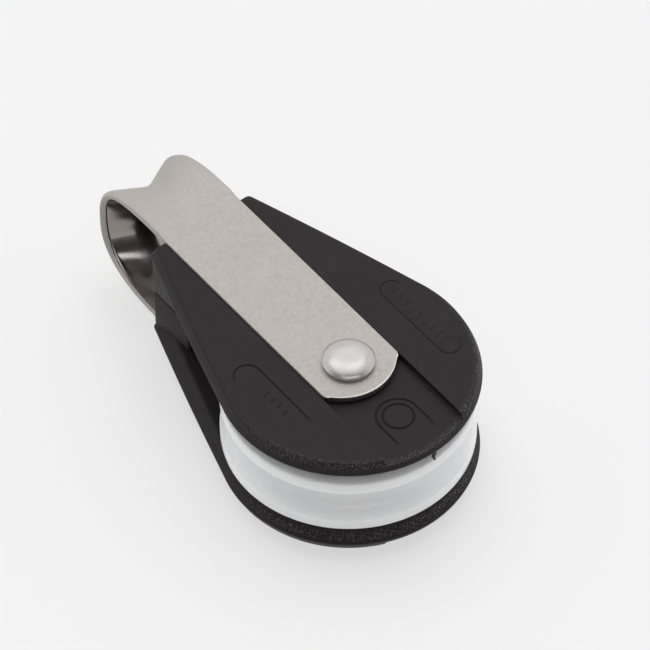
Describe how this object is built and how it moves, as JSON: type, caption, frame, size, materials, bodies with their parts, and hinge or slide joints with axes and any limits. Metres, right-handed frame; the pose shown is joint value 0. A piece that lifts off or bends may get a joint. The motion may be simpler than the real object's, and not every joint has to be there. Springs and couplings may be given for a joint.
{
  "type": "single sheave block",
  "caption": "Small riveted rope block: a sheave turning between two teardrop cheeks, held by a folded steel strap whose bend forms the head eye.",
  "frame": {"origin": "on the axle's axis, at the flat of the lower rivet head", "axes": "+Z along the axle towards the upper rivet head, +Y from the axle towards the head eye, +X across the block"},
  "size_m": [0.029, 0.054, 0.0171],
  "materials": {
    "strap_steel": "tumbled satin stainless outside, polished inside the eye",
    "cheek_nylon": "black glass-filled nylon, fine moulded grain",
    "sheave_acetal": "white acetal, satin",
    "turned_steel": "polished stainless"
  },
  "bodies": {
    "frame": {"strap": "strap_steel", "upper_cheek": "cheek_nylon", "lower_cheek": "cheek_nylon", "axle_sleeve": "turned_steel", "rivet": "turned_steel"},
    "sheave": {"sheave": "sheave_acetal"}
  },
  "joints": [
    {"name": "sheave_spin", "type": "hinge", "parent": "frame", "child": "sheave", "pos_m": [0, 0, 0.0085], "axis": [0, 0, 1], "continuous": true}
  ]
}
